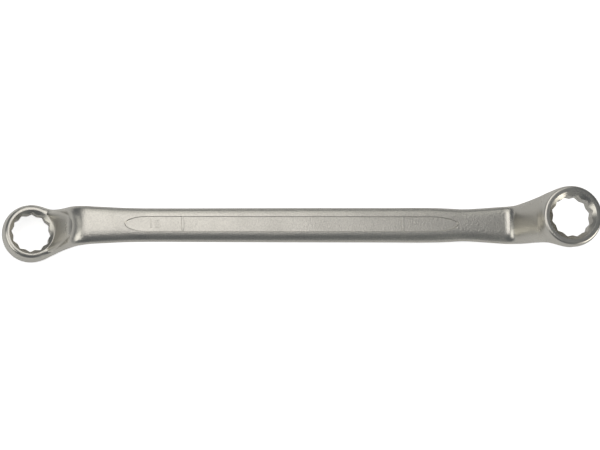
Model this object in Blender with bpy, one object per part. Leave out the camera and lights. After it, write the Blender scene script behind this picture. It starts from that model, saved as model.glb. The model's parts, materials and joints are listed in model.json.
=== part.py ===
"""Deep offset double ring spanner, 18 x 19 mm: one drop forging, lying on a bench.

It is shaped in the shank's own frame, then pitched until it rests. In that frame X runs along the shank
from the small ring to the large one, and Z is square to the shank's broad faces. The small ring hangs
below the shank and the large one stands above it. Lengths are in metres and angles in radians.
"""

from collections import namedtuple
from math import atan2, cos, pi, radians, sin, tan

import bmesh
import bpy
import numpy as np
from mathutils import Vector

# Rings and bores
SMALL_JAW = 0.018
LARGE_JAW = 0.019
JAW_CLEARANCE = 0.00012
SMALL_RING_WALL = 0.0044
LARGE_RING_WALL = 0.0046
RING_HEIGHT = 0.012
RIM_INSET = 0.0013
RIM_DEPTH = 0.0042
TAPER_INSET = 0.0012
EDGE_RADIUS = 0.0011
FUNNEL_WIDTH = 0.0013
FUNNEL_DEPTH = 0.0012
MOUTH_WIDTH = 0.0010
MOUTH_DEPTH = 0.0009
NUT_CLEARANCE = 0.0003
NUT_CLEARANCE_DEPTH = 0.0001
SMALL_BORE_TURN = radians(-4.5)
LARGE_BORE_TURN = radians(14)

# Where the rings stand, from the middle of the shank
RING_SPACING = 0.2710
RING_OFFSET = 0.030

# Shank and necks
SHANK_WIDTH = 0.0176
SHANK_THICKNESS = 0.009
NECK_THICKNESS = 0.0097
NECK_SLOPE = radians(65.5)
NECK_SEAT = 0.0066
SHANK_BEND_RADIUS = 0.010
RING_BEND_RADIUS = 0.007
NECK_RUN_IN = 0.003
FLANK_POWER = 2.7
THICKENING_POWER = 0.5

# Scoop in each neck over its ring's inner face: a cylinder that leans toward the shank, wider than the nut's
# clearance, and how far its cutter reaches into the ring's height
SCOOP_MARGIN = 0.00065
SCOOP_LEAN = radians(13)
SCOOP_FOOTING = 0.0003

# Widths along the shank: a place as a share of half the ring spacing, then a share of SHANK_WIDTH
SHANK_WIDTH_SHARES = (
    (-0.83, 1.147), (-0.79, 1.092), (-0.742, 1.055), (-0.662, 0.995), (-0.589, 0.975), (-0.515, 0.973),
    (-0.368, 0.98), (0.0, 1.0), (0.368, 1.011), (0.478, 1.018), (0.552, 0.998), (0.629, 0.941),
    (0.706, 1.0), (0.784, 1.088), (0.83, 1.123),
)
# Widths along each neck: a share of the way from its bend to the ring's axis, then a share of what the
# ring's diameter adds to the width at the bend
SMALL_NECK_SHARES = (
    (0.0, 0.0), (0.09, 0.038), (0.22, 0.08), (0.345, 0.154), (0.478, 0.302), (0.6, 0.471), (0.785, 0.62),
    (0.9, 0.70),
)
LARGE_NECK_SHARES = (
    (0.0, 0.0), (0.12, 0.085), (0.24, 0.17), (0.36, 0.281), (0.48, 0.427), (0.6, 0.615), (0.785, 0.735),
    (0.9, 0.777),
)

# Recess in each broad face, in three fields with a thin web between them. Its places along the shank are
# shares of half the ring spacing
PANEL_WIDTH = 0.0074
PANEL_DEPTH = 0.0005
PANEL_WEB = 0.0006
PANEL_START_TAPER = 0.0108
PANEL_END_TAPER = 0.0137
PANEL_START_SHARE = -0.664
PANEL_END_SHARE = 0.603
SMALL_WEB_SHARE = -0.447
LARGE_WEB_SHARE = 0.393
# Half of a tapered end: a share of the taper's length, then a share of half the panel's width
PANEL_TAPER_SHARES = ((0.0, 1.0), (0.3, 0.95), (0.6, 0.77), (0.85, 0.5), (0.96, 0.25), (1.0, 0.0))

# Raised size numbers in the two short fields
NUMBER_HEIGHT = 0.0046
FIGURE_HEIGHT_SHARE = 0.73
NUMBER_RELIEF = 0.0003
NUMBER_ROOT = 0.0002
SMALL_NUMBER_SHARE = -0.555
LARGE_NUMBER_SHARE = 0.432
MILLIMETRE = 0.001

# What a cutter runs past the surface that it cuts
OVERRUN = 0.002

# How finely round shapes are divided
SECTION_POINTS = 36
SHANK_SECTIONS = 27
BEND_STEPS = 6
NECK_SECTIONS = 4
RING_SEGMENTS = 72
RIM_STEPS = 5
EDGE_STEPS = 3
NUMBER_RESOLUTION = 3
REST_ROUNDS = 12
JAW_POINTS = 12
WELD_DISTANCE = 0.000001
SHARP_ANGLE = radians(35)

STEEL_COLOUR = (0.60, 0.60, 0.57, 1.0)
STEEL_ROUGHNESS = 0.32

# One end: which way it points, its jaw and wall, how far the bore is turned, its neck's widths and where
# its number stands
End = namedtuple("End", "side jaw wall bore_turn neck_shares number_share")
SMALL_END = End(-1, SMALL_JAW, SMALL_RING_WALL, SMALL_BORE_TURN, SMALL_NECK_SHARES, SMALL_NUMBER_SHARE)
LARGE_END = End(1, LARGE_JAW, LARGE_RING_WALL, LARGE_BORE_TURN, LARGE_NECK_SHARES, LARGE_NUMBER_SHARE)


def bore_tip_radius(end):
    """From the bore's axis to one of its twelve points."""
    return (end.jaw + JAW_CLEARANCE) / 2 / cos(pi / 6)


def bore_flat_radius(end):
    """From the bore's axis to a corner between two points."""
    return (end.jaw + JAW_CLEARANCE) / 2 / cos(pi / 12)


def ring_radius(end):
    return bore_tip_radius(end) + end.wall


def smooth_at(place, table):
    """Read a table of (place, value) rows along a smooth curve through them."""
    places = np.array([row[0] for row in table])
    values = np.array([row[1] for row in table])
    slopes = np.gradient(values, places)
    place = min(max(place, places[0]), places[-1])
    row = min(int(np.searchsorted(places, place, side="right")) - 1, len(table) - 2)
    span = places[row + 1] - places[row]
    t = (place - places[row]) / span
    start = (2 * t ** 3 - 3 * t ** 2 + 1) * values[row] + (t ** 3 - 2 * t ** 2 + t) * span * slopes[row]
    end = (3 * t ** 2 - 2 * t ** 3) * values[row + 1] + (t ** 3 - t ** 2) * span * slopes[row + 1]
    return start + end


def nut_clearance_radius(end):
    """Room for a nut or socket round the bore, on the neck's side."""
    return bore_tip_radius(end) + MOUTH_WIDTH + NUT_CLEARANCE


def shank_width(x):
    return SHANK_WIDTH * smooth_at(x / (RING_SPACING / 2), SHANK_WIDTH_SHARES)


def along_shank(share):
    """A place along the shank, from a share of half the ring spacing."""
    return share * RING_SPACING / 2


def bend_place(end):
    """Where the neck's centre line leaves the shank's, as a distance from the middle."""
    neck_root = RING_SPACING / 2 - ring_radius(end) + NECK_SEAT
    return neck_root - RING_OFFSET / tan(NECK_SLOPE)


def neck_width(distance, end):
    """Width at a distance from the middle of the shank, past the bend."""
    bend = bend_place(end)
    along = (distance - bend) / (RING_SPACING / 2 - bend)
    at_bend = shank_width(end.side * bend)
    return at_bend + (2 * ring_radius(end) - at_bend) * smooth_at(along, end.neck_shares)


def arc_points(corner, radius, turn_from, turn_to, steps):
    """Points and headings along the fillet at a corner between two headings, in the XZ plane."""
    reach = radius * tan(abs(turn_to - turn_from) / 2)
    x = corner[0] - reach * cos(turn_from)
    z = corner[1] - reach * sin(turn_from)
    way = 1 if turn_to > turn_from else -1
    centre = (x - way * radius * sin(turn_from), z + way * radius * cos(turn_from))
    for step in range(steps + 1):
        heading = turn_from + (turn_to - turn_from) * step / steps
        yield (centre[0] + way * radius * sin(heading), centre[1] - way * radius * cos(heading), heading)


def neck_sections(end):
    """(distance, height, heading, width, thickness) from the shank's end into the ring."""
    bend = bend_place(end)
    into_ring = (bend + RING_OFFSET / tan(NECK_SLOPE), RING_OFFSET)
    near = list(arc_points((bend, 0), SHANK_BEND_RADIUS, 0, NECK_SLOPE, BEND_STEPS))
    far = list(arc_points(into_ring, RING_BEND_RADIUS, NECK_SLOPE, 0, BEND_STEPS))
    straight = []
    for step in range(1, NECK_SECTIONS + 1):
        share = step / (NECK_SECTIONS + 1)
        x = near[-1][0] + (far[0][0] - near[-1][0]) * share
        z = near[-1][1] + (far[0][1] - near[-1][1]) * share
        straight.append((x, z, NECK_SLOPE))
    inside = [(far[-1][0] + NECK_RUN_IN, far[-1][1], 0)]
    for x, z, heading in near + straight + far + inside:
        width = neck_width(x, end) if x > bend else shank_width(end.side * x)
        thickness = SHANK_THICKNESS + (NECK_THICKNESS - SHANK_THICKNESS) * min(z / RING_OFFSET, 1) ** THICKENING_POWER
        yield x, z, heading, width, thickness


def body_sections():
    """Every cross-section of shank and necks, from inside the small ring to inside the large one."""
    sections = []
    for x, z, heading, width, thickness in reversed(list(neck_sections(SMALL_END))):
        sections.append((-x, -z, heading, width, thickness))
    start = sections[-1][0]
    large_neck = list(neck_sections(LARGE_END))
    step = (large_neck[0][0] - start) / (SHANK_SECTIONS + 1)
    for index in range(1, SHANK_SECTIONS + 1):
        x = start + step * index
        sections.append((x, 0, 0, shank_width(x), SHANK_THICKNESS))
    return sections + large_neck


def oval(angle):
    """A unit oval with flattened faces: (across, through) at an angle."""
    across = abs(cos(angle)) ** (2 / FLANK_POWER)
    through = abs(sin(angle)) ** (2 / FLANK_POWER)
    return (across if cos(angle) >= 0 else -across, through if sin(angle) >= 0 else -through)


def make_object(name, mesh_builder, frame):
    """Put a bmesh, once filled and turned outward, into a named object on the frame."""
    mesh = bpy.data.meshes.new(name)
    shape = bmesh.new()
    mesh_builder(shape)
    bmesh.ops.recalc_face_normals(shape, faces=shape.faces)
    shape.to_mesh(mesh)
    shape.free()
    made = bpy.data.objects.new(name, mesh)
    bpy.context.collection.objects.link(made)
    made.parent = frame
    return made


def loft(shape, loops):
    """Skin a row of equal loops of points and close both ends."""
    rows = [[shape.verts.new(point) for point in loop] for loop in loops]
    for row, following in zip(rows, rows[1:]):
        for index in range(len(row)):
            after = (index + 1) % len(row)
            shape.faces.new((row[index], row[after], following[after], following[index]))
    shape.faces.new(rows[0])
    shape.faces.new(rows[-1])


def build_body(shape):
    loops = []
    for x, z, heading, width, thickness in body_sections():
        through = Vector((-sin(heading), 0, cos(heading)))
        across = Vector((0, 1, 0))
        centre = Vector((x, 0, z))
        loop = []
        for index in range(SECTION_POINTS):
            side, face = oval(2 * pi * index / SECTION_POINTS)
            loop.append(centre + across * (side * width / 2) + through * (face * thickness / 2))
        loops.append(loop)
    loft(shape, loops)


def turned(shape, profile, end):
    """Turn (radius, height) pairs about a ring's axis; height grows away from the shank."""
    centre = Vector((end.side * RING_SPACING / 2, 0, end.side * RING_OFFSET))
    loops = []
    for radius, height in profile:
        loop = []
        for index in range(RING_SEGMENTS):
            angle = 2 * pi * index / RING_SEGMENTS
            loop.append(centre + Vector((radius * cos(angle), radius * sin(angle), end.side * height)))
        loops.append(loop)
    loft(shape, loops)


def ring_profile(end):
    """The ring blank's outline, from its inner face, next to the neck, out to its far face."""
    radius = ring_radius(end)
    inner = radius - TAPER_INSET
    bottom = -RING_HEIGHT / 2
    profile = []
    for step in range(EDGE_STEPS + 1):
        angle = pi / 2 * step / EDGE_STEPS
        profile.append((inner - EDGE_RADIUS * (1 - sin(angle)), bottom + EDGE_RADIUS * (1 - cos(angle))))
    for step in range(RIM_STEPS + 1):
        angle = pi / 2 * step / RIM_STEPS
        profile.append((radius - RIM_INSET * (1 - cos(angle)), RING_HEIGHT / 2 - RIM_DEPTH * (1 - sin(angle))))
    return profile


def mouth_profile(end, width, depth):
    """A cone that opens the bore to a mouth, from inside the ring to past its far face."""
    mouth = bore_tip_radius(end) + width
    slope = width / depth
    face = RING_HEIGHT / 2
    deep = (mouth - bore_flat_radius(end)) / slope
    return [(mouth - deep * slope, face - deep), (mouth, face), (mouth + OVERRUN * slope, face + OVERRUN)]


def clearance_profile(end):
    """The mouth on the neck's side, with the round clearance that trims the neck above the nut."""
    inside, mouth, _ = mouth_profile(end, MOUTH_WIDTH, MOUTH_DEPTH)
    face = -RING_HEIGHT / 2
    bottom = face + NUT_CLEARANCE_DEPTH
    radius = nut_clearance_radius(end)
    past_neck = face - RING_OFFSET
    return [(radius, past_neck), (radius, bottom), (mouth[0], bottom), (inside[0], -inside[1])]


def build_scoop(shape, end):
    """A leaning cylinder that hollows the neck, from inside the ring's height to past the shank."""
    inner_face = RING_OFFSET - RING_HEIGHT / 2
    radius = nut_clearance_radius(end) + SCOOP_MARGIN
    loops = []
    for height in (inner_face + SCOOP_FOOTING, -SHANK_THICKNESS / 2 - OVERRUN):
        axis = RING_SPACING / 2 - (inner_face - height) * tan(SCOOP_LEAN)
        loop = []
        for index in range(RING_SEGMENTS):
            angle = 2 * pi * index / RING_SEGMENTS
            loop.append(Vector((end.side * (axis + radius * cos(angle)), radius * sin(angle), end.side * height)))
        loops.append(loop)
    loft(shape, loops)


def build_bore(shape, end):
    """A twelve-point prism right through the ring."""
    centre = Vector((end.side * RING_SPACING / 2, 0, end.side * RING_OFFSET))
    reach = RING_HEIGHT / 2 + OVERRUN
    loops = []
    for height in (-reach, reach):
        loop = []
        for index in range(2 * JAW_POINTS):
            radius = bore_tip_radius(end) if index % 2 == 0 else bore_flat_radius(end)
            angle = end.bore_turn + pi * index / JAW_POINTS
            loop.append(centre + Vector((radius * cos(angle), radius * sin(angle), height)))
        loops.append(loop)
    loft(shape, loops)


def field_outlines():
    """The three fields of a panel as closed outlines: (along the shank, across it)."""
    half = PANEL_WIDTH / 2
    panel_start = along_shank(PANEL_START_SHARE)
    panel_end = along_shank(PANEL_END_SHARE)
    start = [(panel_start + PANEL_START_TAPER * (1 - along), half * across)
             for along, across in PANEL_TAPER_SHARES]
    finish = [(panel_end - PANEL_END_TAPER * (1 - along), half * across)
              for along, across in PANEL_TAPER_SHARES]
    small_middle = along_shank(SMALL_WEB_SHARE)
    large_middle = along_shank(LARGE_WEB_SHARE)
    small_web = (small_middle - PANEL_WEB / 2, small_middle + PANEL_WEB / 2)
    large_web = (large_middle - PANEL_WEB / 2, large_middle + PANEL_WEB / 2)
    yield ([(small_web[0], -half), (small_web[0], half)] + start
           + [(x, -y) for x, y in reversed(start[:-1])])
    yield [(small_web[1], half), (small_web[1], -half), (large_web[0], -half), (large_web[0], half)]
    yield ([(large_web[1], half), (large_web[1], -half)] + [(x, -y) for x, y in finish]
           + list(reversed(finish[:-1])))


def build_fields(shape, face):
    """Cutters for one broad face; face is 1 for the upper one and -1 for the lower."""
    floor = SHANK_THICKNESS / 2 - PANEL_DEPTH
    for outline in field_outlines():
        levels = (floor, SHANK_THICKNESS / 2 + OVERRUN)
        loft(shape, [[Vector((x, y, face * level)) for x, y in outline] for level in levels])


def number_mesh(end, face):
    """The jaw's size in plain raised figures, read from outside the face that it stands on."""
    figures = bpy.data.curves.new("figures", "FONT")
    figures.body = f"{end.jaw / MILLIMETRE:.0f}"
    figures.size = NUMBER_HEIGHT / FIGURE_HEIGHT_SHARE
    figures.align_x = "CENTER"
    figures.align_y = "CENTER"
    figures.resolution_u = NUMBER_RESOLUTION
    figures.extrude = (NUMBER_RELIEF + NUMBER_ROOT) / 2
    carrier = bpy.data.objects.new("figures", figures)
    bpy.context.collection.objects.link(carrier)
    carrier.rotation_euler.x = 0 if face > 0 else pi
    middle = SHANK_THICKNESS / 2 - PANEL_DEPTH + (NUMBER_RELIEF - NUMBER_ROOT) / 2
    carrier.location = (along_shank(end.number_share), 0, face * middle)
    bpy.context.view_layer.update()
    mesh = bpy.data.meshes.new_from_object(carrier.evaluated_get(bpy.context.evaluated_depsgraph_get()))
    mesh.transform(carrier.matrix_world)
    bpy.data.objects.remove(carrier)
    return mesh


def build_numbers(shape, face):
    for end in (SMALL_END, LARGE_END):
        mesh = number_mesh(end, face)
        shape.from_mesh(mesh)
        bpy.data.meshes.remove(mesh)
    bmesh.ops.remove_doubles(shape, verts=shape.verts, dist=WELD_DISTANCE)


def add_boolean(target, operand, operation):
    """Join or cut with a hidden helper shape."""
    step = target.modifiers.new(operand.name, "BOOLEAN")
    step.object = operand
    step.operation = operation
    step.solver = "EXACT"
    operand.hide_render = True
    operand.display_type = "WIRE"


def steel():
    material = bpy.data.materials.new("chromed_steel")
    material.use_nodes = True
    shader = material.node_tree.nodes["Principled BSDF"]
    shader.inputs["Base Color"].default_value = STEEL_COLOUR
    shader.inputs["Metallic"].default_value = 1.0
    shader.inputs["Roughness"].default_value = STEEL_ROUGHNESS
    return material


def world_points(made):
    """The evaluated mesh's corners in world space."""
    bpy.context.view_layer.update()
    evaluated = made.evaluated_get(bpy.context.evaluated_depsgraph_get())
    mesh = evaluated.to_mesh()
    points = np.array([evaluated.matrix_world @ vertex.co for vertex in mesh.vertices])
    evaluated.to_mesh_clear()
    return points


def rest_pitch(points):
    """The pitch that lets the low ring's rim and the bend at the far end touch one level plane."""
    pitch = 0.0
    left = points[points[:, 0] < 0]
    right = points[points[:, 0] > 0]
    for _ in range(REST_ROUNDS):
        low_left = left[np.argmin(left[:, 2] * cos(pitch) - left[:, 0] * sin(pitch))]
        low_right = right[np.argmin(right[:, 2] * cos(pitch) - right[:, 0] * sin(pitch))]
        pitch = atan2(low_right[2] - low_left[2], low_right[0] - low_left[0])
    return pitch


def lay_down(made, frame):
    """Pitch the frame to rest and set it so that the origin is at the bottom centre of the part."""
    frame.rotation_euler.y = rest_pitch(world_points(made))
    points = world_points(made)
    low = points.min(axis=0)
    high = points.max(axis=0)
    frame.location = (-(low[0] + high[0]) / 2, -(low[1] + high[1]) / 2, -low[2])


def build_spanner():
    frame = bpy.data.objects.new("shank_frame", None)
    bpy.context.collection.objects.link(frame)
    forging = make_object("spanner_forging", build_body, frame)
    for name, end in (("small", SMALL_END), ("large", LARGE_END)):
        scoop = make_object(f"{name}_scoop", lambda shape: build_scoop(shape, end), frame)
        add_boolean(forging, scoop, "DIFFERENCE")
        blank = make_object(f"{name}_blank", lambda shape: turned(shape, ring_profile(end), end), frame)
        add_boolean(forging, blank, "UNION")
    for name, end in (("small", SMALL_END), ("large", LARGE_END)):
        bore = make_object(f"{name}_bore", lambda shape: build_bore(shape, end), frame)
        add_boolean(forging, bore, "DIFFERENCE")
        funnel = mouth_profile(end, FUNNEL_WIDTH, FUNNEL_DEPTH)
        mouth = make_object(f"{name}_mouth", lambda shape: turned(shape, funnel, end), frame)
        add_boolean(forging, mouth, "DIFFERENCE")
        clearance = make_object(f"{name}_clearance",
                                lambda shape: turned(shape, clearance_profile(end), end), frame)
        add_boolean(forging, clearance, "DIFFERENCE")
    for name, face in (("upper", 1), ("lower", -1)):
        fields = make_object(f"{name}_fields", lambda shape: build_fields(shape, face), frame)
        add_boolean(forging, fields, "DIFFERENCE")
        numbers = make_object(f"{name}_numbers", lambda shape: build_numbers(shape, face), frame)
        add_boolean(forging, numbers, "UNION")
    forging.data.materials.append(steel())
    forging.data.shade_smooth()
    forging.data.set_sharp_from_angle(angle=SHARP_ANGLE)
    lay_down(forging, frame)


for leftover in list(bpy.data.objects):
    bpy.data.objects.remove(leftover)
build_spanner()
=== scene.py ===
"""Looks of the deep offset ring spanner: one finely shaped forging with satin and polished chrome.

The surface is described as a distance from the spanner's own form, in the shank's frame: X along
the shank from the small ring to the large one, Z square to its broad faces. A coarse skin is
remeshed, drawn onto that form, then cut crisply for the bores, mouths and recesses. Lengths are in
metres and angles in radians.
"""

import json
from collections import namedtuple
from math import atan2, copysign, cos, pi, radians, sin, tan

import bmesh
import bpy
import numpy as np
from mathutils import Matrix, Vector

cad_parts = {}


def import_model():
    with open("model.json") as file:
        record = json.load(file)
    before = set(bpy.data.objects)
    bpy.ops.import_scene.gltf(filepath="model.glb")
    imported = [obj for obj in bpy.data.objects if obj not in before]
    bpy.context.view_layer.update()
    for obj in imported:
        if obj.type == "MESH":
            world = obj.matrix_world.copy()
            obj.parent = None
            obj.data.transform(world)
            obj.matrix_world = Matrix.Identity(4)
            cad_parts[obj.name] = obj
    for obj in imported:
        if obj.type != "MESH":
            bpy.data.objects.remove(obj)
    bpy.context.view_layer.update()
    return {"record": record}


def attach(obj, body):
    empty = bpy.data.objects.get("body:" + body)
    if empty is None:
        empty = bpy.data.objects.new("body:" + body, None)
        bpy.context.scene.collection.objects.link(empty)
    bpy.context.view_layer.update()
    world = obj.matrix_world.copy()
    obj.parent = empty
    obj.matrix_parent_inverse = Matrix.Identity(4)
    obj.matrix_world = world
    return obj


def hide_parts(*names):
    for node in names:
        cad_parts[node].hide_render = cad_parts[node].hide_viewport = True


# The spanner's sizes, as in the CAD model
SMALL_JAW = 0.018
LARGE_JAW = 0.019
JAW_CLEARANCE = 0.00012
SMALL_RING_WALL = 0.0044
LARGE_RING_WALL = 0.0046
RING_HEIGHT = 0.012
RIM_INSET = 0.0013
RIM_DEPTH = 0.0042
TAPER_INSET = 0.0012
EDGE_RADIUS = 0.0011
FUNNEL_WIDTH = 0.0013
FUNNEL_DEPTH = 0.0012
MOUTH_WIDTH = 0.0010
MOUTH_DEPTH = 0.0009
NUT_CLEARANCE = 0.0003
NUT_CLEARANCE_DEPTH = 0.0001
SMALL_BORE_TURN = radians(-4.5)
LARGE_BORE_TURN = radians(14)

RING_SPACING = 0.2710
RING_OFFSET = 0.030

SHANK_WIDTH = 0.0176
SHANK_THICKNESS = 0.009
NECK_THICKNESS = 0.0097
NECK_SLOPE = radians(65.5)
NECK_SEAT = 0.0066
SHANK_BEND_RADIUS = 0.010
RING_BEND_RADIUS = 0.007
NECK_RUN_IN = 0.003
FLANK_POWER = 2.7
THICKENING_POWER = 0.5
SCOOP_MARGIN = 0.00065
SCOOP_LEAN = radians(13)

# Place as a share of half the ring spacing, and the width there as a share of SHANK_WIDTH
SHANK_WIDTH_SHARES = (
    (-0.83, 1.147), (-0.79, 1.092), (-0.742, 1.055), (-0.662, 0.995), (-0.589, 0.975),
    (-0.515, 0.973), (-0.368, 0.98), (0.0, 1.0), (0.368, 1.011), (0.478, 1.018), (0.552, 0.998),
    (0.629, 0.941), (0.706, 1.0), (0.784, 1.088), (0.83, 1.123),
)
# Place between a bend and its ring's middle, and the share of the added width that is there
SMALL_NECK_SHARES = (
    (0.0, 0.0), (0.09, 0.038), (0.22, 0.08), (0.345, 0.154), (0.478, 0.302), (0.6, 0.471),
    (0.785, 0.62), (0.9, 0.70),
)
LARGE_NECK_SHARES = (
    (0.0, 0.0), (0.12, 0.085), (0.24, 0.17), (0.36, 0.281), (0.48, 0.427), (0.6, 0.615),
    (0.785, 0.735), (0.9, 0.777),
)

PANEL_WIDTH = 0.0074
PANEL_DEPTH = 0.0005
PANEL_WEB = 0.0006
PANEL_START_TAPER = 0.0108
PANEL_END_TAPER = 0.0137
PANEL_START_SHARE = -0.664
PANEL_END_SHARE = 0.603
SMALL_WEB_SHARE = -0.447
LARGE_WEB_SHARE = 0.393

NUMBER_HEIGHT = 0.0046
FIGURE_HEIGHT_SHARE = 0.73
NUMBER_RELIEF = 0.0003
NUMBER_ROOT = 0.0002
SMALL_NUMBER_SHARE = -0.555
LARGE_NUMBER_SHARE = 0.432
MILLIMETRE = 0.001
OVERRUN = 0.002

# Roundings, slopes and finer curves that only this mesh has
OUTER_RIM_ROUNDING = 0.0007
NECK_RIM_ROUNDING = 2 * EDGE_RADIUS
TAPER_POWER = 1.25
TAPER_REACH = 1.2
POINT_ROUNDING = 0.00035
LOBE_ROUNDING = 0.0010
BLEND_RADIUS = 0.0024
SCOOP_EDGE = 0.0055
PANEL_WALL_SLOPE = 0.8
WEB_WALL_SLOPE = 2.0
# Place along an end's taper towards its tip, and the share of the panel's width there
PANEL_TAPER_SHARES = (
    (0.0, 1.0), (0.15, 0.99), (0.3, 0.95), (0.45, 0.87), (0.6, 0.77), (0.74, 0.64), (0.85, 0.5),
    (0.92, 0.36), (0.97, 0.22), (1.0, 0.0),
)

# How finely the surface is made
SKIN_SECTIONS = 120
SKIN_POINTS = 72
RING_SEGMENTS = 144
RING_LEVELS = 14
CUTTER_SEGMENTS = 288
CORNER_STEPS = 6
VOXEL = 0.0003
TABLE_STEP = 0.0002
TABLE_SMOOTHING = 0.0016
SMOOTHING_REACH = 4
DRAWING_ROUNDS = 5
LEAST_STEEPNESS = 0.05
LEAST_CORNER_SHARE = 0.3
PROBE = 0.00001
ON_FORM = 0.000004
WELD_DISTANCE = 0.000001
TINY = 1e-9
JAW_POINTS = 12
SHARP_ANGLE = radians(20)

End = namedtuple("End", "side jaw wall bore_turn neck_shares number_share")
SMALL_END = End(-1, SMALL_JAW, SMALL_RING_WALL, SMALL_BORE_TURN, SMALL_NECK_SHARES,
                SMALL_NUMBER_SHARE)
LARGE_END = End(1, LARGE_JAW, LARGE_RING_WALL, LARGE_BORE_TURN, LARGE_NECK_SHARES,
                LARGE_NUMBER_SHARE)
ENDS = (SMALL_END, LARGE_END)


# The form
def bore_tip_radius(end):
    return (end.jaw + JAW_CLEARANCE) / 2 / cos(pi / 6)


def bore_flat_radius(end):
    return (end.jaw + JAW_CLEARANCE) / 2 / cos(pi / 12)


def ring_radius(end):
    return bore_tip_radius(end) + end.wall


def nut_clearance_radius(end):
    return bore_tip_radius(end) + MOUTH_WIDTH + NUT_CLEARANCE


def smooth_at(place, table):
    """Read a table of (place, value) rows along a smooth curve, for many places at once."""
    places = np.array([row[0] for row in table])
    values = np.array([row[1] for row in table])
    slopes = np.gradient(values, places)
    place = np.clip(place, places[0], places[-1])
    row = np.clip(np.searchsorted(places, place, side="right") - 1, 0, len(table) - 2)
    span = places[row + 1] - places[row]
    t = (place - places[row]) / span
    start = ((2 * t ** 3 - 3 * t ** 2 + 1) * values[row]
             + (t ** 3 - 2 * t ** 2 + t) * span * slopes[row])
    finish = ((3 * t ** 2 - 2 * t ** 3) * values[row + 1]
              + (t ** 3 - t ** 2) * span * slopes[row + 1])
    return start + finish


def along_shank(share):
    return share * RING_SPACING / 2


def bend_place(end):
    return RING_SPACING / 2 - ring_radius(end) + NECK_SEAT - RING_OFFSET / tan(NECK_SLOPE)


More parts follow.
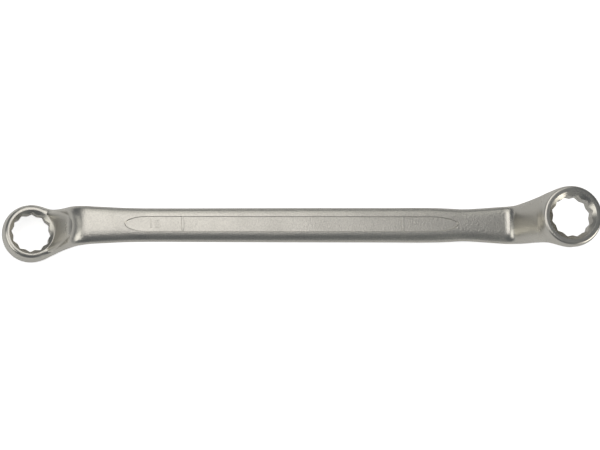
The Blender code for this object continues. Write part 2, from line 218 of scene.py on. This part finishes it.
class NeckLine:
    """The centre line of half the spanner, from the middle of the shank into one ring."""

    def __init__(self, end):
        self.end = end
        slope = NECK_SLOPE
        bend = bend_place(end)
        top = bend + RING_OFFSET / tan(slope)
        near_reach = SHANK_BEND_RADIUS * tan(slope / 2)
        far_reach = RING_BEND_RADIUS * tan(slope / 2)
        self.bend = bend
        self.near_start = bend - near_reach
        self.near_centre = (self.near_start, SHANK_BEND_RADIUS)
        self.slope_start = (bend + near_reach * cos(slope), near_reach * sin(slope))
        slope_end = (top - far_reach * cos(slope), RING_OFFSET - far_reach * sin(slope))
        self.slope_length = np.hypot(slope_end[0] - self.slope_start[0],
                                     slope_end[1] - self.slope_start[1])
        self.far_centre = (top + far_reach, RING_OFFSET - RING_BEND_RADIUS)
        self.marks = np.cumsum([self.near_start, SHANK_BEND_RADIUS * slope, self.slope_length,
                                RING_BEND_RADIUS * slope, NECK_RUN_IN])
        self.table_places = np.arange(-near_reach, self.marks[-1] + near_reach, TABLE_STEP)
        x, z, _ = self.at(self.table_places)
        self.half_widths = self.smoothed(self.width(x) / 2)
        thickening = np.clip(z / RING_OFFSET, 0, 1) ** THICKENING_POWER
        thickness = SHANK_THICKNESS + (NECK_THICKNESS - SHANK_THICKNESS) * thickening
        self.half_thicknesses = self.smoothed(thickness / 2)

    def width(self, x):
        side, half_spacing = self.end.side, RING_SPACING / 2
        shank = SHANK_WIDTH * smooth_at(side * x / half_spacing, SHANK_WIDTH_SHARES)
        at_bend = SHANK_WIDTH * smooth_at(side * self.bend / half_spacing, SHANK_WIDTH_SHARES)
        along = (x - self.bend) / (half_spacing - self.bend)
        added = (2 * ring_radius(self.end) - at_bend) * smooth_at(along, self.end.neck_shares)
        return np.where(x > self.bend, at_bend + added, shank)

    def smoothed(self, values):
        """Values along the line with their small kinks eased out."""
        reach = int(SMOOTHING_REACH * TABLE_SMOOTHING / TABLE_STEP)
        weights = np.exp(-0.5 * (np.arange(-reach, reach + 1) * TABLE_STEP / TABLE_SMOOTHING) ** 2)
        padded = np.pad(values, reach, mode="edge")
        return np.convolve(padded, weights / weights.sum(), mode="valid")

    def at(self, place):
        """x, z and heading at distances along the line."""
        near, slope, far, run, _ = self.marks
        heading = np.clip((place - near) / SHANK_BEND_RADIUS, 0, NECK_SLOPE)
        x = np.minimum(place, near) + SHANK_BEND_RADIUS * np.sin(heading)
        z = SHANK_BEND_RADIUS * (1 - np.cos(heading))
        straight = np.clip(place - slope, 0, self.slope_length)
        x = x + straight * cos(NECK_SLOPE)
        z = z + straight * sin(NECK_SLOPE)
        turned_back = np.clip((place - far) / RING_BEND_RADIUS, 0, NECK_SLOPE)
        heading = heading - turned_back
        x = x + RING_BEND_RADIUS * (sin(NECK_SLOPE) - np.sin(NECK_SLOPE - turned_back))
        z = z + RING_BEND_RADIUS * (np.cos(NECK_SLOPE - turned_back) - cos(NECK_SLOPE))
        return x + np.maximum(place - run, 0), z, heading

    def nearest(self, x, z):
        """Distance along the line to the point nearest (x, z), and the signed distance off it."""
        near, slope, far, run, last = self.marks
        best_off = np.full(x.shape, np.inf)
        best_place = np.zeros(x.shape)
        best_signed = np.zeros(x.shape)
        to_near = (x - self.near_centre[0], z - self.near_centre[1])
        near_turn = np.clip(np.arctan2(to_near[0], -to_near[1]), 0, NECK_SLOPE)
        to_far = (x - self.far_centre[0], z - self.far_centre[1])
        far_turn = np.clip(np.arctan2(-to_far[0], to_far[1]), 0, NECK_SLOPE)
        up_slope = ((x - self.slope_start[0]) * cos(NECK_SLOPE)
                    + (z - self.slope_start[1]) * sin(NECK_SLOPE))
        for place in (np.minimum(x, near), near + SHANK_BEND_RADIUS * near_turn,
                      slope + np.clip(up_slope, 0, self.slope_length),
                      far + RING_BEND_RADIUS * (NECK_SLOPE - far_turn),
                      np.clip(run + x - self.far_centre[0], run, last)):
            foot_x, foot_z, heading = self.at(place)
            off = np.hypot(x - foot_x, z - foot_z)
            signed = (z - foot_z) * np.cos(heading) - (x - foot_x) * np.sin(heading)
            closer = off < best_off
            best_off = np.where(closer, off, best_off)
            best_place = np.where(closer, place, best_place)
            best_signed = np.where(closer, signed, best_signed)
        return best_place, best_signed

    def distance(self, x, y, z):
        """Signed distance, near enough, from the shank and neck."""
        place, off = self.nearest(x, z)
        half_width = np.interp(place, self.table_places, self.half_widths)
        half_thickness = np.interp(place, self.table_places, self.half_thicknesses)
        across = np.abs(y) / half_width
        through = np.abs(off) / half_thickness
        total = np.maximum(across ** FLANK_POWER + through ** FLANK_POWER, TINY)
        size = total ** (1 / FLANK_POWER)
        pull = total ** (1 / FLANK_POWER - 1)
        steep = np.hypot(pull * across ** (FLANK_POWER - 1) / half_width,
                         pull * through ** (FLANK_POWER - 1) / half_thickness)
        past_end = x - self.far_centre[0] - NECK_RUN_IN
        return np.maximum((size - 1) / np.maximum(steep, 1), past_end)


LINES = {end.side: NeckLine(end) for end in ENDS}


def ring_outline_radius(end, height):
    """Outer radius of the ring at a height over its middle, away from the shank."""
    radius = ring_radius(end)
    widest = RING_HEIGHT / 2 - RIM_DEPTH
    rise = np.clip((height - widest) / RIM_DEPTH, 0, 1)
    rim = radius - RIM_INSET * (1 - np.sqrt(1 - rise ** 2))
    fall = np.clip((widest - height) / (RING_HEIGHT - RIM_DEPTH), 0, TAPER_REACH)
    return rim - TAPER_INSET * fall ** TAPER_POWER


def smooth_max(a, b, radius):
    """The larger of two distances, eased where they are nearly equal."""
    overlap = np.maximum(radius - np.abs(a - b), 0) / radius
    return np.maximum(a, b) + overlap ** 2 * radius / 4


def ring_distance(end, x, y, z):
    """Signed distance, near enough, from a ring's blank."""
    height = end.side * z - RING_OFFSET
    out = np.hypot(x - end.side * RING_SPACING / 2, y)
    side = out - ring_outline_radius(end, height)
    faces = np.abs(height) - RING_HEIGHT / 2
    return smooth_max(side, faces, np.where(height > 0, OUTER_RIM_ROUNDING, NECK_RIM_ROUNDING))


def scoop_distance(end, x, y, z):
    """Signed distance, near enough, from the leaning cylinder that hollows a neck over its ring."""
    axis = RING_SPACING / 2 - (RING_OFFSET - RING_HEIGHT / 2 - end.side * z) * tan(SCOOP_LEAN)
    return np.hypot(end.side * x - axis, y) - nut_clearance_radius(end) - SCOOP_MARGIN


def form_distance(points):
    """Signed distance, near enough, from the whole uncut forging."""
    x, y, z = points[:, 0], points[:, 1], points[:, 2]
    body = np.where(x < 0, LINES[-1].distance(-x, y, -z), LINES[1].distance(x, y, z))
    scoops = np.where(x < 0, scoop_distance(SMALL_END, x, y, z), scoop_distance(LARGE_END, x, y, z))
    body = smooth_max(body, -scoops, SCOOP_EDGE)
    rings = np.where(x < 0, ring_distance(SMALL_END, x, y, z), ring_distance(LARGE_END, x, y, z))
    return -smooth_max(-body, -rings, BLEND_RADIUS)


def form_slope(points):
    """The form's outward gradient at points."""
    slope = np.empty_like(points)
    for axis in range(3):
        step = np.zeros(3)
        step[axis] = PROBE
        slope[:, axis] = (form_distance(points + step) - form_distance(points - step)) / (2 * PROBE)
    return slope


# Meshes
def linked(name, data):
    """A new object in the scene."""
    made = bpy.data.objects.new(name, data)
    bpy.context.scene.collection.objects.link(made)
    return made


def evaluated_mesh(made):
    """A new mesh of an object as its modifiers or its type leave it."""
    bpy.context.view_layer.update()
    depsgraph = bpy.context.evaluated_depsgraph_get()
    return bpy.data.meshes.new_from_object(made.evaluated_get(depsgraph))


def object_from(name, points, faces):
    """An object with its faces turned outward."""
    mesh = bpy.data.meshes.new(name)
    mesh.from_pydata([tuple(point) for point in points], [], faces)
    shape = bmesh.new()
    shape.from_mesh(mesh)
    bmesh.ops.recalc_face_normals(shape, faces=shape.faces)
    shape.to_mesh(mesh)
    shape.free()
    return linked(name, mesh)


def skinned(rows):
    """Points and faces of a closed skin over equal rows of points."""
    count = len(rows[0])
    points = [point for row in rows for point in row]
    faces = []
    for row in range(len(rows) - 1):
        for index in range(count):
            after = (index + 1) % count
            low = row * count
            faces.append((low + index, low + after, low + count + after, low + count + index))
    faces.append(tuple(reversed(range(count))))
    last = (len(rows) - 1) * count
    faces.append(tuple(range(last, last + count)))
    return points, faces


def merged(parts):
    """Several skins as one list of points and one of faces."""
    points, faces = [], []
    for part_points, part_faces in parts:
        base = len(points)
        points += list(part_points)
        faces += [tuple(base + index for index in face) for face in part_faces]
    return points, faces


def oval(angle):
    """A point of the flanks' rounded section, on a scale where each half width is 1."""
    across = abs(cos(angle)) ** (2 / FLANK_POWER)
    through = abs(sin(angle)) ** (2 / FLANK_POWER)
    return (across if cos(angle) >= 0 else -across, through if sin(angle) >= 0 else -through)


def body_skin():
    """A coarse closed skin of shank and necks."""
    rows = []
    for end in ENDS:
        line = LINES[end.side]
        places = np.linspace(0 if end.side > 0 else line.marks[-1],
                             line.marks[-1] if end.side > 0 else 0, SKIN_SECTIONS)
        if end.side < 0:
            places = places[:-1]
        x, z, heading = line.at(places)
        for index, place in enumerate(places):
            half_width = np.interp(place, line.table_places, line.half_widths)
            half_thickness = np.interp(place, line.table_places, line.half_thicknesses)
            through = np.array((-sin(heading[index]), 0, cos(heading[index])))
            centre = end.side * np.array((x[index], 0, z[index]))
            row = []
            for turn in range(SKIN_POINTS):
                side, face = oval(2 * pi * turn / SKIN_POINTS)
                across = np.array((0, side * half_width, 0))
                row.append(centre + across + through * face * half_thickness)
            rows.append(row)
    return skinned(rows)


def turned(end, profile, segments):
    """Turn (radius, height) pairs about a ring's axis; height grows away from the shank."""
    rows = []
    for radius, height in profile:
        row = []
        for index in range(segments):
            angle = 2 * pi * index / segments
            row.append((end.side * RING_SPACING / 2 + radius * cos(angle), radius * sin(angle),
                        end.side * (RING_OFFSET + height)))
        rows.append(row)
    return skinned(rows)


def blank_profile(end):
    heights = np.linspace(-RING_HEIGHT / 2, RING_HEIGHT / 2, RING_LEVELS)
    return [(float(ring_outline_radius(end, height)), height) for height in heights]


def modified(made, kind, **settings):
    """Apply one modifier and keep the result as the object's mesh."""
    step = made.modifiers.new("step", kind)
    for name, value in settings.items():
        setattr(step, name, value)
    mesh = evaluated_mesh(made)
    made.modifiers.clear()
    old = made.data
    made.data = mesh
    bpy.data.meshes.remove(old)


def points_of(mesh):
    points = np.empty(len(mesh.vertices) * 3, np.float32)
    mesh.vertices.foreach_get("co", points)
    return points.reshape(-1, 3).astype(float)


def set_points(mesh, points):
    mesh.vertices.foreach_set("co", points.astype(np.float32).ravel())
    mesh.update()


def rough_forging():
    """The uncut forging: a remeshed skin drawn onto the form."""
    parts = [body_skin()] + [turned(end, blank_profile(end), RING_SEGMENTS) for end in ENDS]
    made = object_from("spanner", *merged(parts))
    modified(made, "REMESH", mode="VOXEL", voxel_size=VOXEL, adaptivity=0)
    points = points_of(made.data)
    for _ in range(DRAWING_ROUNDS):
        slope = form_slope(points)
        steep = np.maximum((slope ** 2).sum(1), LEAST_STEEPNESS)
        step = np.clip(form_distance(points) / steep, -VOXEL, VOXEL)
        points = points - slope * step[:, None]
    set_points(made.data, points)
    return made


def rounded(corners, radii):
    """A closed outline with each corner turned into an arc."""
    outline = []
    count = len(corners)
    for index, (corner, radius) in enumerate(zip(corners, radii)):
        before = Vector(corners[index - 1]) - Vector(corner)
        after = Vector(corners[(index + 1) % count]) - Vector(corner)
        inside = before.angle(after)
        reach = radius / tan(inside / 2)
        start = Vector(corner) + before.normalized() * reach
        finish = Vector(corner) + after.normalized() * reach
        middle = (before.normalized() + after.normalized()).normalized()
        centre = Vector(corner) + middle * (radius / sin(inside / 2))
        from_start = start - centre
        from_finish = finish - centre
        sweep = from_start.angle(from_finish)
        turn = 1 if from_start.x * from_finish.y - from_start.y * from_finish.x > 0 else -1
        for step in range(CORNER_STEPS + 1):
            angle = turn * sweep * step / CORNER_STEPS
            outline.append((centre.x + from_start.x * cos(angle) - from_start.y * sin(angle),
                            centre.y + from_start.x * sin(angle) + from_start.y * cos(angle)))
    return outline


def bore_cutter(end):
    """A twelve-point prism with eased points and lobes."""
    corners, radii = [], []
    for index in range(2 * JAW_POINTS):
        point = index % 2 == 0
        radius = bore_tip_radius(end) if point else bore_flat_radius(end)
        angle = end.bore_turn + pi * index / JAW_POINTS
        corners.append((radius * cos(angle), radius * sin(angle)))
        radii.append(POINT_ROUNDING if point else LOBE_ROUNDING)
    outline = rounded(corners, radii)
    reach = RING_HEIGHT / 2 + OVERRUN
    rows = [[(end.side * RING_SPACING / 2 + x, y, end.side * RING_OFFSET + height)
             for x, y in outline] for height in (-reach, reach)]
    return skinned(rows)


def mouth_profile(end, width, depth):
    """Profile of the cone that opens a bore to its mouth, from inside the ring to past its face."""
    mouth = bore_tip_radius(end) + width
    slope = width / depth
    face = RING_HEIGHT / 2
    deep = (mouth - bore_flat_radius(end)) / slope
    return [(mouth - deep * slope, face - deep), (mouth, face),
            (mouth + OVERRUN * slope, face + OVERRUN)]


def clearance_profile(end):
    """Profile of the mouth on the neck's side, with the room for a nut over the ring."""
    inside, mouth, _ = mouth_profile(end, MOUTH_WIDTH, MOUTH_DEPTH)
    face = -RING_HEIGHT / 2
    bottom = face + NUT_CLEARANCE_DEPTH
    radius = nut_clearance_radius(end)
    return [(radius, face - RING_OFFSET), (radius, bottom), (mouth[0], bottom),
            (inside[0], -inside[1])]


def field_outlines():
    """The three fields of a panel as closed outlines, anticlockwise."""
    half = PANEL_WIDTH / 2
    start, end = along_shank(PANEL_START_SHARE), along_shank(PANEL_END_SHARE)
    small, large = along_shank(SMALL_WEB_SHARE), along_shank(LARGE_WEB_SHARE)
    web = PANEL_WEB / 2
    left = [(start + PANEL_START_TAPER * (1 - along), half * across)
            for along, across in PANEL_TAPER_SHARES]
    right = [(end - PANEL_END_TAPER * (1 - along), half * across)
             for along, across in PANEL_TAPER_SHARES]
    yield ([(small - web, -half), (small - web, half)] + left
           + [(x, -y) for x, y in reversed(left[:-1])])
    yield [(small + web, half), (small + web, -half), (large - web, -half), (large - web, half)]
    yield ([(large + web, half), (large + web, -half)] + [(x, -y) for x, y in right]
           + list(reversed(right[:-1])))


def grown(outline, by):
    """An outline with each point moved outward, so that a cutter's walls slope."""
    area = sum(a[0] * b[1] - b[0] * a[1] for a, b in zip(outline, outline[1:] + outline[:1]))
    way = 1 if area > 0 else -1
    moved = []
    for index, point in enumerate(outline):
        before = Vector(point) - Vector(outline[index - 1])
        after = Vector(outline[(index + 1) % len(outline)]) - Vector(point)
        first = Vector((before.y, -before.x)).normalized() * way
        second = Vector((after.y, -after.x)).normalized() * way
        middle = (first + second).normalized()
        reach = by / max(middle.dot(first), LEAST_CORNER_SHARE)
        moved.append(tuple(Vector(point) + middle * reach))
    return moved


def field_top(outline, rise):
    """A field's outline at a height above its floor, with gentler slopes up to the webs."""
    top = []
    for (x, _), (top_x, top_y) in zip(outline, grown(outline, rise * PANEL_WALL_SLOPE)):
        for web in (along_shank(SMALL_WEB_SHARE), along_shank(LARGE_WEB_SHARE)):
            if abs(x - web) < PANEL_WEB:
                top_x += copysign(rise * (WEB_WALL_SLOPE - PANEL_WALL_SLOPE), web - x)
        top.append((top_x, top_y))
    return top


def field_cutters(face):
    """The three tapered blocks that hollow one face's panel."""
    floor = SHANK_THICKNESS / 2 - PANEL_DEPTH
    rise = PANEL_DEPTH * 2
    parts = []
    for outline in field_outlines():
        bottom = [(x, y, face * floor) for x, y in outline]
        top = [(x, y, face * (floor + rise)) for x, y in field_top(outline, rise)]
        parts.append(skinned([bottom, top]))
    return merged(parts)


def number_object(end, face):
    """The jaw's size in plain raised figures, read from outside the face that it stands on."""
    figures = bpy.data.curves.new("figures", "FONT")
    figures.body = f"{end.jaw / MILLIMETRE:.0f}"
    figures.size = NUMBER_HEIGHT / FIGURE_HEIGHT_SHARE
    figures.align_x = "CENTER"
    figures.align_y = "CENTER"
    figures.extrude = (NUMBER_RELIEF + NUMBER_ROOT) / 2
    carrier = linked("figures", figures)
    carrier.rotation_euler.x = 0 if face > 0 else pi
    middle = SHANK_THICKNESS / 2 - PANEL_DEPTH + (NUMBER_RELIEF - NUMBER_ROOT) / 2
    carrier.location = (along_shank(end.number_share), 0, face * middle)
    mesh = evaluated_mesh(carrier)
    mesh.transform(carrier.matrix_world)
    bpy.data.objects.remove(carrier)
    made = linked("number", mesh)
    modified(made, "WELD", merge_threshold=WELD_DISTANCE)
    return made


def combine(made, operand, operation):
    """Join or cut with another object, which is then removed."""
    modified(made, "BOOLEAN", object=operand, operation=operation, solver="MANIFOLD")
    bpy.data.objects.remove(operand)


def set_normals(made):
    """Exact normals where the surface lies on the form, and crisp ones at the cuts."""
    mesh = made.data
    points = points_of(mesh)
    on_form = np.abs(form_distance(points)) < ON_FORM
    slope = form_slope(points)
    slope /= np.maximum(np.linalg.norm(slope, axis=1), TINY)[:, None]
    mesh.shade_smooth()
    mesh.set_sharp_from_angle(angle=SHARP_ANGLE)
    normals = np.empty(len(mesh.loops) * 3, np.float32)
    mesh.corner_normals.foreach_get("vector", normals)
    normals = normals.reshape(-1, 3)
    corner_points = np.empty(len(mesh.loops), np.int32)
    mesh.loops.foreach_get("vertex_index", corner_points)
    face_normals = np.empty(len(mesh.polygons) * 3, np.float32)
    mesh.polygons.foreach_get("normal", face_normals)
    sizes = np.empty(len(mesh.polygons), np.int32)
    mesh.polygons.foreach_get("loop_total", sizes)
    per_corner = np.repeat(face_normals.reshape(-1, 3), sizes, axis=0)
    true = slope[corner_points]
    agree = on_form[corner_points] & ((per_corner * true).sum(1) > cos(SHARP_ANGLE))
    normals[agree] = true[agree]
    mesh.normals_split_custom_set(normals)


def build_spanner(pose):
    """The whole forging, cut, numbered and laid as the frame lays it."""
    made = rough_forging()
    for end in ENDS:
        funnel = mouth_profile(end, FUNNEL_WIDTH, FUNNEL_DEPTH)
        for shape in (bore_cutter(end), turned(end, funnel, CUTTER_SEGMENTS),
                      turned(end, clearance_profile(end), CUTTER_SEGMENTS)):
            combine(made, object_from("cutter", *shape), "DIFFERENCE")
    for face in (1, -1):
        combine(made, object_from("fields", *field_cutters(face)), "DIFFERENCE")
        for end in ENDS:
            combine(made, number_object(end, face), "UNION")
    set_normals(made)
    made.data.transform(pose)
    made.data.update()
    return made


def shank_pose(record):
    """The shank's frame in the world, from the seats of the two rings and the panel's facing."""
    mounts = {mount["name"]: mount for mount in record["mounts"]}
    small = Vector(mounts["small_ring_seat"]["pos_m"])
    large = Vector(mounts["large_ring_seat"]["pos_m"])
    facing = mounts["shank_panel"]["axis"]
    middle = (small + large) / 2
    place = Matrix.Translation((middle.x, 0, middle.z))
    return place @ Matrix.Rotation(atan2(facing[0], facing[2]), 4, "Y")


# Materials
CHROME_COLOUR = (0.66, 0.64, 0.58, 1.0)
PIT_COLOUR = (0.37, 0.36, 0.33, 1.0)
SATIN_ROUGHNESS = 0.33
POLISH_ROUGHNESS = 0.29
SATIN_START = -0.1135
SATIN_START_SOFTNESS = 0.004
SATIN_END = 0.1066
SATIN_END_SOFTNESS = 0.0006
PEBBLE_SCALE = 2100.0
PEBBLE_SMOOTHNESS = 0.6
PEBBLE_SHARE = 0.5
GRAIN_HEIGHT = 0.00009
POLISH_GRAIN_SHARE = 0.12
# Each noise's scale, detail and roughness
COARSE_GRAIN = (1000.0, 2.0, 0.55)
CLOUDS = (60.0, 3.0, 0.5)
SPECKS = (1250.0, 2.0, 0.6)
# The span of each noise over which its effect grows or fades
CLOUD_RANGE = (0.35, 0.65)
PIT_RANGE = (0.32, 0.62)
WORN_PATCH_RANGE = (0.35, 0.6)
SATIN_PIT_SHADE = 0.32
POLISH_PIT_SHADE = 0.12
CLOUD_SHADE = 0.08
CLOUD_ROUGHNESS = 0.03
EDGE_ROUNDING = 0.00014
EDGE_SAMPLES = 4
# Cosines of the turn of the rounded normal at which wear starts and is full
WEAR_START = 0.995
WEAR_FULL = 0.93
LEAST_WEAR = 0.3
WEAR_BRIGHTENING = 0.25
WEAR_SMOOTHING = 0.05


class Nodes:
    """Adds linked shader nodes. An input is named by its label, or by i and its number."""

    def __init__(self, material):
        material.use_nodes = True
        self.tree = material.node_tree
        self.tree.nodes.clear()

    def add(self, kind, settings=None, **inputs):
        node = self.tree.nodes.new(kind)
        for name, value in (settings or {}).items():
            setattr(node, name, value)
        for name, value in inputs.items():
            by_number = name[0] == "i" and name[1:].isdigit()
            socket = node.inputs[int(name[1:]) if by_number else name.replace("_", " ")]
            if isinstance(value, bpy.types.NodeSocket):
                self.tree.links.new(value, socket)
            else:
                socket.default_value = value
        return node

    def maths(self, operation, first, second=0.0, clamp=False):
        return self.add("ShaderNodeMath", {"operation": operation, "use_clamp": clamp},
                        i0=first, i1=second).outputs[0]

    def ramp(self, value, low, high, to_low=0.0, to_high=1.0, smooth=True):
        kind = "SMOOTHSTEP" if smooth else "LINEAR"
        return self.add("ShaderNodeMapRange", {"interpolation_type": kind}, Value=value,
                        From_Min=low, From_Max=high, To_Min=to_low, To_Max=to_high).outputs[0]

    def noise(self, place, scale, detail, roughness):
        return self.add("ShaderNodeTexNoise", Vector=place, Scale=scale, Detail=detail,
                        Roughness=roughness).outputs["Fac"]


def chrome_material():
    material = bpy.data.materials.new("satin_and_polished_chrome")
    nodes = Nodes(material)
    place = nodes.add("ShaderNodeTexCoord").outputs["Object"]
    along = nodes.add("ShaderNodeSeparateXYZ", Vector=place).outputs["X"]

    # Where the shank's satin ends and the polished necks begin
    from_small = nodes.ramp(along, SATIN_START - SATIN_START_SOFTNESS,
                            SATIN_START + SATIN_START_SOFTNESS)
    to_large = nodes.ramp(along, SATIN_END + SATIN_END_SOFTNESS, SATIN_END - SATIN_END_SOFTNESS)
    satin = nodes.maths("MULTIPLY", from_small, to_large)

    # Pebbled grain on the satin, and the faint unevenness of a polished forging elsewhere
    grain = nodes.add("ShaderNodeTexVoronoi", {"feature": "SMOOTH_F1"}, Vector=place,
                      Scale=PEBBLE_SCALE, Smoothness=PEBBLE_SMOOTHNESS, Randomness=1.0)
    coarse = nodes.noise(place, *COARSE_GRAIN)
    cloud = nodes.noise(place, *CLOUDS)
    specks = nodes.noise(place, *SPECKS)
    pebbles = nodes.maths("MULTIPLY", grain.outputs["Distance"], PEBBLE_SHARE)
    grain_share = nodes.ramp(satin, 0.0, 1.0, POLISH_GRAIN_SHARE, 1.0, smooth=False)
    height = nodes.maths("MULTIPLY", nodes.maths("ADD", pebbles, coarse), grain_share)
    edge = nodes.add("ShaderNodeBevel", {"samples": EDGE_SAMPLES}, Radius=EDGE_ROUNDING)
    rounding = edge.outputs["Normal"]
    bump = nodes.add("ShaderNodeBump", Strength=1.0, Distance=GRAIN_HEIGHT, Height=height,
                     Normal=rounding)

    # Worn edges: brighter and smoother where the rounded normal leaves the flat one
    flat = nodes.add("ShaderNodeNewGeometry").outputs["Normal"]
    turn = nodes.add("ShaderNodeVectorMath", {"operation": "DOT_PRODUCT"}, i0=flat, i1=rounding)
    wear = nodes.maths("MULTIPLY", nodes.ramp(turn.outputs["Value"], WEAR_START, WEAR_FULL),
                       nodes.ramp(cloud, *WORN_PATCH_RANGE, LEAST_WEAR, 1.0))

    # Pits hold a little less light, most of all in the satin
    pitted = nodes.ramp(specks, *PIT_RANGE, 1.0, 0.0, smooth=False)
    pits = nodes.ramp(satin, 0.0, 1.0, POLISH_PIT_SHADE, SATIN_PIT_SHADE, smooth=False)
    shade = nodes.maths("MULTIPLY", pitted, pits)
    clouding = nodes.ramp(cloud, *CLOUD_RANGE, 0.0, CLOUD_SHADE, smooth=False)
    shade = nodes.maths("ADD", shade, clouding)
    brightening = nodes.maths("MULTIPLY", wear, WEAR_BRIGHTENING)
    shade = nodes.maths("SUBTRACT", shade, brightening, clamp=True)
    colour = nodes.add("ShaderNodeMix", {"data_type": "RGBA"}, i0=shade, i6=CHROME_COLOUR,
                       i7=PIT_COLOUR).outputs[2]

    roughness = nodes.ramp(satin, 0.0, 1.0, POLISH_ROUGHNESS, SATIN_ROUGHNESS, smooth=False)
    clouding = nodes.ramp(cloud, *CLOUD_RANGE, -CLOUD_ROUGHNESS, CLOUD_ROUGHNESS, smooth=False)
    roughness = nodes.maths("ADD", roughness, clouding)
    roughness = nodes.maths("SUBTRACT", roughness, nodes.maths("MULTIPLY", wear, WEAR_SMOOTHING))

    shader = nodes.add("ShaderNodeBsdfPrincipled", Base_Color=colour, Metallic=1.0,
                       Roughness=roughness, Normal=bump.outputs[0])
    nodes.add("ShaderNodeOutputMaterial", Surface=shader.outputs[0])
    return material


# Stage, lights and camera
FLOOR_SIZE = 3.0
FLOOR_COLOUR = (0.9, 0.9, 0.9, 1.0)
FLOOR_GLOW = 0.72
FLOOR_GLOW_IN_METAL = 0.05
KEY_COLOUR = (1.0, 0.975, 0.96)
WARM_COLOUR = (1.0, 0.97, 0.9)
CARD_COLOUR = (1.0, 0.985, 0.94)
WORLD_COLOUR = (0.93, 1.0, 1.1, 1.0)
WORLD_STRENGTH = 0.13
# Each light's name, place, aim, size, radiance and colour
LIGHTS = (
    ("overhead_softbox", (-0.06, 0.15, 0.5), (-0.06, 0.15, 0.0), (0.5, 0.5), 1.22, KEY_COLOUR),
    ("right_fill", (0.37, 0.12, 0.5), (0.37, 0.12, 0.0), (0.2, 0.4), 0.05, WARM_COLOUR),
    ("back_card", (0.0, 0.52, 0.42), (0.0, 0.0, 0.02), (0.6, 0.4), 0.74, CARD_COLOUR),
    ("left_card", (-0.44, -0.14, 0.3), (0.1, -0.12, 0.12), (0.36, 0.34), 1.4, CARD_COLOUR),
    ("right_card", (0.5, -0.26, 0.16), (0.13, 0.0, 0.06), (0.3, 0.3), 3.0, WARM_COLOUR),
    ("front_card", (0.16, -0.45, 0.16), (0.1, 0.0, 0.03), (0.26, 0.26), 0.12, CARD_COLOUR),
)
CAMERA_TARGET = Vector((-0.000059, 0.000111, 0.019))
CAMERA_DISTANCE = 1.8
CAMERA_ELEVATION = radians(81.869)
CAMERA_LEAN = radians(-0.601)
CAMERA_ROLL = radians(-1.153)
CAMERA_LENS = 210.67
CAMERA_REACH = 10.0
SENSOR_WIDTH = 36.0


def floor_material():
    material = bpy.data.materials.new("white_floor")
    nodes = Nodes(material)
    path = nodes.add("ShaderNodeLightPath")
    reflected = nodes.maths("MAXIMUM", path.outputs["Is Glossy Ray"],
                            path.outputs["Is Transmission Ray"])
    seen = nodes.maths("MULTIPLY", path.outputs["Is Camera Ray"], FLOOR_GLOW)
    strength = nodes.maths("ADD", seen, nodes.maths("MULTIPLY", reflected, FLOOR_GLOW_IN_METAL))
    matt = nodes.add("ShaderNodeBsdfDiffuse", Color=FLOOR_COLOUR)
    glow = nodes.add("ShaderNodeEmission", Strength=strength)
    both = nodes.add("ShaderNodeAddShader", i0=matt.outputs[0], i1=glow.outputs[0])
    nodes.add("ShaderNodeOutputMaterial", Surface=both.outputs[0])
    return material


def add_floor():
    half = FLOOR_SIZE / 2
    corners = [(-half, -half, 0), (half, -half, 0), (half, half, 0), (-half, half, 0)]
    floor = object_from("floor", corners, [(0, 1, 2, 3)])
    floor.data.materials.append(floor_material())


def add_panel_light(name, place, aim, size, radiance, colour):
    """A soft rectangular light, seen in the metal as a panel of the radiance given."""
    lamp = bpy.data.lights.new(name, "AREA")
    lamp.shape = "RECTANGLE"
    lamp.size, lamp.size_y = size
    lamp.energy = radiance * size[0] * size[1] * pi
    lamp.color = colour
    made = linked(name, lamp)
    made.location = place
    made.rotation_euler = (Vector(aim) - Vector(place)).to_track_quat("-Z", "Y").to_euler()


def add_lights():
    for light in LIGHTS:
        add_panel_light(*light)
    world = bpy.data.worlds.new("studio")
    bpy.context.scene.world = world
    world.use_nodes = True
    shade = world.node_tree.nodes["Background"]
    shade.inputs["Color"].default_value = WORLD_COLOUR
    shade.inputs["Strength"].default_value = WORLD_STRENGTH


def add_camera():
    """A long lens over the front, nearly overhead, leaning and rolled a little as in the photo."""
    away = Vector((0, -cos(CAMERA_ELEVATION), sin(CAMERA_ELEVATION)))
    right = Vector((1, 0, 0))
    up = away.cross(right)
    lean = Matrix.Rotation(CAMERA_LEAN, 3, "Y")
    away, right, up = lean @ away, lean @ right, lean @ up
    rolled_right = right * cos(CAMERA_ROLL) + up * sin(CAMERA_ROLL)
    rolled_up = up * cos(CAMERA_ROLL) - right * sin(CAMERA_ROLL)
    view = bpy.data.cameras.new("camera")
    view.lens = CAMERA_LENS
    view.sensor_width = SENSOR_WIDTH
    view.clip_end = CAMERA_REACH
    camera = linked("camera", view)
    facing = Matrix((rolled_right, rolled_up, away)).transposed().to_4x4()
    camera.matrix_world = Matrix.Translation(CAMERA_TARGET + away * CAMERA_DISTANCE) @ facing
    bpy.context.scene.camera = camera


def main():
    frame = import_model()
    spanner = build_spanner(shank_pose(frame["record"]))
    spanner.data.materials.clear()
    spanner.data.materials.append(chrome_material())
    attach(spanner, "root")
    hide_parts("spanner_forging")
    add_floor()
    add_lights()
    add_camera()
    bpy.context.scene.view_settings.view_transform = "Standard"


main()
